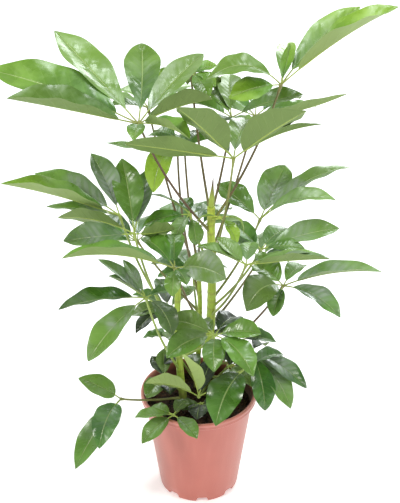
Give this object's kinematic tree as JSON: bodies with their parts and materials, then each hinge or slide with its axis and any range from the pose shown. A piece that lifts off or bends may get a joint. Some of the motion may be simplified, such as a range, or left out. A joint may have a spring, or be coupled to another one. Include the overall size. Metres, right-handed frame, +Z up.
{
  "type": "potted umbrella plant",
  "caption": "Umbrella plant with glossy palmate leaves on long stalks, rooted in a tapered terracotta-coloured nursery pot with a rim band.",
  "frame": {"origin": "middle of the pot's flat underside, on the surface it stands on", "axes": "+Z up along the pot's axis, -Y the plant's front, +X its right as seen from the front"},
  "size_m": [0.6007, 0.4568, 0.8019],
  "materials": {
    "pot": "satin",
    "soil": "matte",
    "stem": "satin",
    "leaf": "gloss",
    "new_growth": "satin"
  },
  "bodies": {
    "root": {"pot": "pot", "soil": "soil", "stem_tall": "stem", "stem_front": "stem", "stem_back": "stem", "shoot_bud": "new_growth", "leaf_upper_left": "leaf", "leaf_young_upper": "leaf", "leaf_crown_back": "leaf", "leaf_crown_middle": "leaf", "leaf_crown_front": "leaf", "leaf_top_right": "leaf", "leaf_slender_back": "leaf", "leaf_right_upper": "leaf", "leaf_right_middle": "leaf", "leaf_right_front": "leaf", "leaf_right_lower": "leaf", "leaf_drooping_right": "leaf", "leaf_low_right": "leaf", "leaf_low_glossy": "leaf", "leaf_low_centre": "leaf", "leaf_low_pale": "leaf", "leaf_rim_front": "leaf", "leaf_left_upper": "leaf", "leaf_left_middle": "leaf", "leaf_left_front": "leaf", "leaf_left_lower": "leaf", "leaf_centre": "leaf", "young_leaf": "new_growth", "leaf_over_rim": "leaf", "leaf_behind_left": "leaf", "leaf_rim_left": "leaf", "leaf_soil_front": "leaf", "leaf_low_middle": "leaf", "leaf_low_inner": "leaf", "leaf_back_upper_left": "leaf", "leaf_back_upper_right": "leaf", "leaf_back_middle": "leaf", "leaf_back_left": "leaf", "leaf_back_right": "leaf", "leaf_back_low": "leaf", "leaf_low_back_right": "leaf", "leaf_low_back_left": "leaf"}
  },
  "joints": []
}
